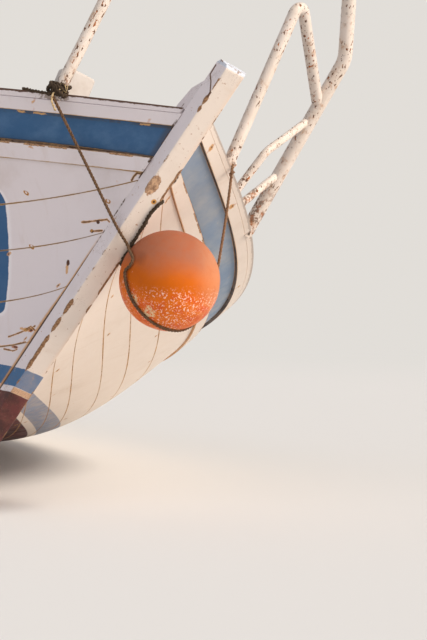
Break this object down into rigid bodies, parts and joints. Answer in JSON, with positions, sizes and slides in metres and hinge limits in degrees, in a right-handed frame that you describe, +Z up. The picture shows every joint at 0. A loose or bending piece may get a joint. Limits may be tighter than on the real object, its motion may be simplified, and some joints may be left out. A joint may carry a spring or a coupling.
{
  "type": "wooden fishing boat with inboard engine",
  "caption": "Carvel-planked open fishing boat with raked stem, decked ends, engine box, pipe pulpit over the bow and a ball fender hung at the stem, lying heeled on its keel and port bilge.",
  "frame": {"origin": "centre of the bounding box on the ground plane, under the hull amidships", "axes": "+X towards the bow along the keel, +Y to port along the ground, +Z up from the ground; the hull is heeled 23.53 degrees to port about +X"},
  "size_m": [7.5667, 2.6421, 2.6224],
  "materials": {
    "white_paint": "weathered white oil paint on wood",
    "maroon_paint": "dull dark red bottom paint on wood",
    "blue_paint": "faded blue oil paint on wood",
    "deck_paint": "worn grey deck paint on wood",
    "bare_wood": "oiled and weathered timber",
    "pipe_paint": "cream paint over rusting steel pipe",
    "buoy_plastic": "sun-faded orange plastic",
    "rope": "weathered laid rope",
    "dark_rope": "dark laid rope",
    "bronze": "cast bronze",
    "steel": "turned steel",
    "engine_paint": "painted cast iron"
  },
  "bodies": {
    "root": {"aft_deck": "deck_paint", "bitt": "bare_wood", "bottom_planks_port": "maroon_paint", "bottom_planks_starboard": "maroon_paint", "breasthook": "bare_wood", "bulwark_plank_port": "blue_paint", "bulwark_plank_starboard": "blue_paint", "buoy": "buoy_plastic", "buoy_sling": "rope", "cap_rail_port": "white_paint", "cap_rail_starboard": "white_paint", "coaming": "white_paint", "deadwood": "maroon_paint", "deck_beams": "bare_wood", "engine": "engine_paint", "engine_bearers": "bare_wood", "engine_box": "white_paint", "floors": "bare_wood", "foredeck": "deck_paint", "frames_port": "bare_wood", "frames_starboard": "bare_wood", "gudgeons": "bronze", "hatch_coaming": "white_paint", "keel": "maroon_paint", "lashing": "dark_rope", "pulpit_arch": "pipe_paint", "pulpit_lower_brace": "pipe_paint", "pulpit_port_post": "pipe_paint", "pulpit_stay": "pipe_paint", "pulpit_upper_brace": "pipe_paint", "riser_port": "bare_wood", "riser_starboard": "bare_wood", "rub_strake_port": "white_paint", "rub_strake_starboard": "white_paint", "side_deck_port": "deck_paint", "side_deck_starboard": "deck_paint", "sole_boards": "deck_paint", "stanchions_port": "bare_wood", "stanchions_starboard": "bare_wood", "stem": "white_paint", "stern_posts": "bare_wood", "stern_tube": "bronze", "sternpost": "maroon_paint", "thwarts": "white_paint", "topside_planks_port": "white_paint", "topside_planks_starboard": "white_paint", "transom": "white_paint", "wale_port": "white_paint", "wale_starboard": "white_paint"},
    "propeller": {"propeller": "bronze", "propeller_shaft": "steel"},
    "rudder": {"rudder": "maroon_paint", "tiller": "bare_wood", "pintles": "bronze"},
    "engine_lid": {"engine_lid": "white_paint"},
    "hatch_lid": {"hatch_lid": "white_paint"}
  },
  "joints": [
    {"name": "propeller_spin", "type": "hinge", "parent": "root", "child": "propeller", "pos_m": [-3.0694, -0.31192, 0.2351], "axis": [0.9936, 0.0452, 0.1038], "continuous": true},
    {"name": "rudder_swing", "type": "hinge", "parent": "root", "child": "rudder", "pos_m": [-3.3574, -0.1674, 0.567], "axis": [0, 0.3992, 0.9169], "range_deg": [-35, 35]},
    {"name": "engine_lid_hinge", "type": "hinge", "parent": "root", "child": "engine_lid", "pos_m": [-0.6594, -0.05761, 0.81913], "axis": [0, 0.9169, -0.3992], "range_deg": [0, 95]},
    {"name": "hatch_lid_hinge", "type": "hinge", "parent": "root", "child": "hatch_lid", "pos_m": [2.0606, 0.07733, 1.12903], "axis": [0, 0.9169, -0.3992], "range_deg": [0, 100]}
  ]
}
